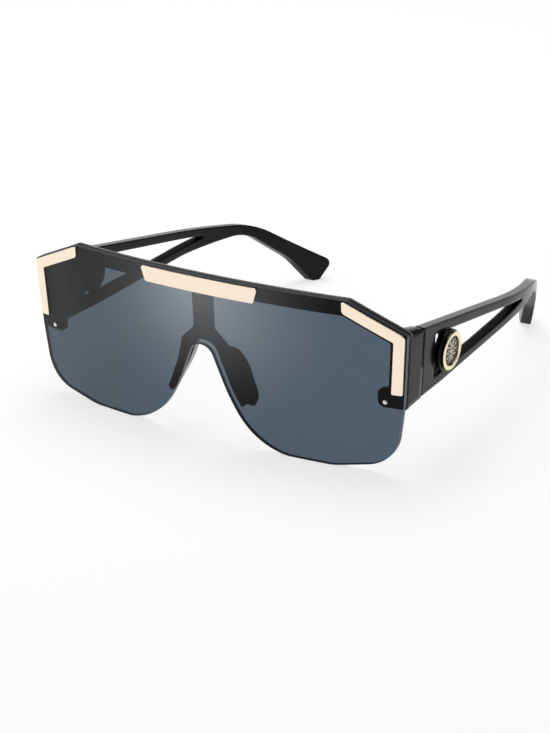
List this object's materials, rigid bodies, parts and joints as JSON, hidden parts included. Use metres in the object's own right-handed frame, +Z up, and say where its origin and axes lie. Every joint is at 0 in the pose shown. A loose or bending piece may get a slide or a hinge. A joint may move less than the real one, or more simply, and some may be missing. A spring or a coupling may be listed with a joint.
{
  "type": "shield sunglasses",
  "caption": "Oversized shield sunglasses with a one-piece smoke lens, gold corner and brow plates, nose pads, and open-work folding temples with round medallions.",
  "frame": {"origin": "on the table under the middle of the open glasses", "axes": "+X to the wearer's left, +Y from the lens back to the temple tips, +Z up"},
  "size_m": [0.1512, 0.1548, 0.0582],
  "materials": {
    "black_plastic": "gloss",
    "smoke_lens": "gloss",
    "gold_plate": "satin",
    "rivet_steel": "polished",
    "pad_plastic": "satin",
    "inlay_black": "gloss",
    "relief_silver": "polished",
    "hinge_steel": "satin"
  },
  "bodies": {
    "front": {"front_frame": "black_plastic", "shield_lens": "smoke_lens", "brow_plate": "gold_plate", "front_leaf_screws": "hinge_steel", "corner_plate_left": "gold_plate", "lens_rivet_left": "rivet_steel", "nose_pad_left": "pad_plastic", "hinge_front_leaf_left": "hinge_steel", "hinge_screw_left": "hinge_steel", "corner_plate_right": "gold_plate", "lens_rivet_right": "rivet_steel", "nose_pad_right": "pad_plastic", "hinge_front_leaf_right": "hinge_steel", "hinge_screw_right": "hinge_steel"},
    "temple_left_arm": {"temple_left": "black_plastic", "medallion_bezel_left": "gold_plate", "medallion_inlay_left": "inlay_black", "medallion_relief_left": "relief_silver", "hinge_temple_leaf_left": "hinge_steel", "temple_leaf_screws_left": "hinge_steel"},
    "temple_right_arm": {"temple_right": "black_plastic", "medallion_bezel_right": "gold_plate", "medallion_inlay_right": "inlay_black", "medallion_relief_right": "relief_silver", "hinge_temple_leaf_right": "hinge_steel", "temple_leaf_screws_right": "hinge_steel"}
  },
  "joints": [
    {"name": "left_temple_fold", "type": "hinge", "parent": "front", "child": "temple_left_arm", "pos_m": [0.06725, -0.05786, 0.0365], "axis": [0, 0, 1], "range_deg": [0, 82]},
    {"name": "right_temple_fold", "type": "hinge", "parent": "front", "child": "temple_right_arm", "pos_m": [-0.06725, -0.05786, 0.0365], "axis": [0, 0, -1], "range_deg": [0, 69]}
  ]
}
